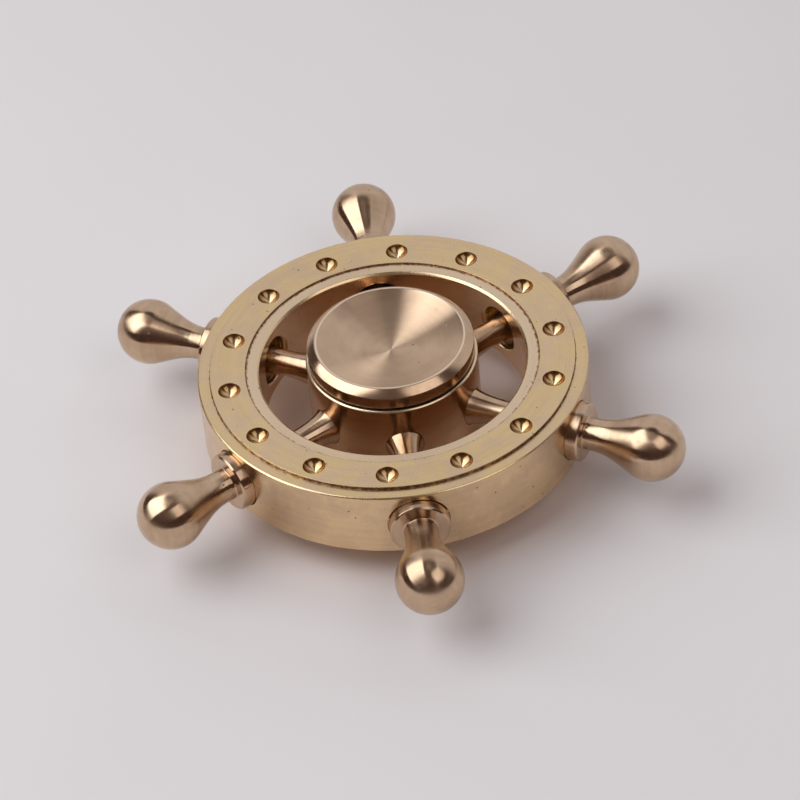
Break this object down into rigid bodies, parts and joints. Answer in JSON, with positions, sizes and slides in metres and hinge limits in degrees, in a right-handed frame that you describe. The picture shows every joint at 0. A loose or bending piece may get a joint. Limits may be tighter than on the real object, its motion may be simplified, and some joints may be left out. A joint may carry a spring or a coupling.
{
  "type": "spinning top",
  "caption": "Ship's-wheel desk spinner: a turned brass rim with ball-ended handles spins on a small ball bearing held between two dished finger caps.",
  "frame": {"origin": "on the spin axis, in the plane of the handles' axes, which is the middle of the bounding box", "axes": "+Z along the spin axis, out of the top cap; +X outwards along handle_spoke_1"},
  "size_m": [0.0708, 0.0624, 0.0158],
  "materials": {
    "yellow_brass": "satin turned, fine circular tool marks",
    "rosy_brass": "polished turned, soft mirror with fine tool marks",
    "bearing_steel": "ground and polished",
    "cage_nylon": "plain moulded nylon"
  },
  "bodies": {
    "finger_caps": {"top_cap": "rosy_brass", "bottom_cap": "rosy_brass", "bearing_inner_race": "bearing_steel"},
    "wheel": {"rim": "yellow_brass", "hub": "yellow_brass", "handle_spoke_1": "rosy_brass", "handle_spoke_2": "rosy_brass", "handle_spoke_3": "rosy_brass", "handle_spoke_4": "rosy_brass", "handle_spoke_5": "rosy_brass", "handle_spoke_6": "rosy_brass", "bearing_outer_race": "bearing_steel", "upper_bearing_shield": "bearing_steel", "lower_bearing_shield": "bearing_steel", "upper_snap_ring": "bearing_steel", "lower_snap_ring": "bearing_steel"},
    "cage": {"bearing_cage": "cage_nylon"},
    "ball_01": {"bearing_ball_01": "bearing_steel"},
    "ball_02": {"bearing_ball_02": "bearing_steel"},
    "ball_03": {"bearing_ball_03": "bearing_steel"},
    "ball_04": {"bearing_ball_04": "bearing_steel"},
    "ball_05": {"bearing_ball_05": "bearing_steel"},
    "ball_06": {"bearing_ball_06": "bearing_steel"},
    "ball_07": {"bearing_ball_07": "bearing_steel"},
    "ball_08": {"bearing_ball_08": "bearing_steel"},
    "ball_09": {"bearing_ball_09": "bearing_steel"},
    "ball_10": {"bearing_ball_10": "bearing_steel"}
  },
  "joints": [
    {"name": "wheel_spin", "type": "hinge", "parent": "finger_caps", "child": "wheel", "pos_m": [0, 0, 0], "axis": [0, 0, 1], "continuous": true},
    {"name": "cage_orbit", "type": "hinge", "parent": "finger_caps", "child": "cage", "pos_m": [0, 0, 0], "axis": [0, 0, 1], "continuous": true},
    {"name": "ball_01_roll", "type": "hinge", "parent": "cage", "child": "ball_01", "pos_m": [0.00476, 0, 0], "axis": [0, 0, 1], "continuous": true},
    {"name": "ball_02_roll", "type": "hinge", "parent": "cage", "child": "ball_02", "pos_m": [0.00385, 0.0028, 0], "axis": [0, 0, 1], "continuous": true},
    {"name": "ball_03_roll", "type": "hinge", "parent": "cage", "child": "ball_03", "pos_m": [0.00147, 0.00453, 0], "axis": [0, 0, 1], "continuous": true},
    {"name": "ball_04_roll", "type": "hinge", "parent": "cage", "child": "ball_04", "pos_m": [-0.00147, 0.00453, 0], "axis": [0, 0, 1], "continuous": true},
    {"name": "ball_05_roll", "type": "hinge", "parent": "cage", "child": "ball_05", "pos_m": [-0.00385, 0.0028, 0], "axis": [0, 0, 1], "continuous": true},
    {"name": "ball_06_roll", "type": "hinge", "parent": "cage", "child": "ball_06", "pos_m": [-0.00476, 0, 0], "axis": [0, 0, 1], "continuous": true},
    {"name": "ball_07_roll", "type": "hinge", "parent": "cage", "child": "ball_07", "pos_m": [-0.00385, -0.0028, 0], "axis": [0, 0, 1], "continuous": true},
    {"name": "ball_08_roll", "type": "hinge", "parent": "cage", "child": "ball_08", "pos_m": [-0.00147, -0.00453, 0], "axis": [0, 0, 1], "continuous": true},
    {"name": "ball_09_roll", "type": "hinge", "parent": "cage", "child": "ball_09", "pos_m": [0.00147, -0.00453, 0], "axis": [0, 0, 1], "continuous": true},
    {"name": "ball_10_roll", "type": "hinge", "parent": "cage", "child": "ball_10", "pos_m": [0.00385, -0.0028, 0], "axis": [0, 0, 1], "continuous": true}
  ],
  "couplings": [
    {"joint": "cage_orbit", "follows": "wheel_spin", "ratio": 0.58336},
    {"joint": "ball_01_roll", "follows": "wheel_spin", "ratio": 2.9157},
    {"joint": "ball_02_roll", "follows": "wheel_spin", "ratio": 2.9157},
    {"joint": "ball_03_roll", "follows": "wheel_spin", "ratio": 2.9157},
    {"joint": "ball_04_roll", "follows": "wheel_spin", "ratio": 2.9157},
    {"joint": "ball_05_roll", "follows": "wheel_spin", "ratio": 2.9157},
    {"joint": "ball_06_roll", "follows": "wheel_spin", "ratio": 2.9157},
    {"joint": "ball_07_roll", "follows": "wheel_spin", "ratio": 2.9157},
    {"joint": "ball_08_roll", "follows": "wheel_spin", "ratio": 2.9157},
    {"joint": "ball_09_roll", "follows": "wheel_spin", "ratio": 2.9157},
    {"joint": "ball_10_roll", "follows": "wheel_spin", "ratio": 2.9157}
  ]
}
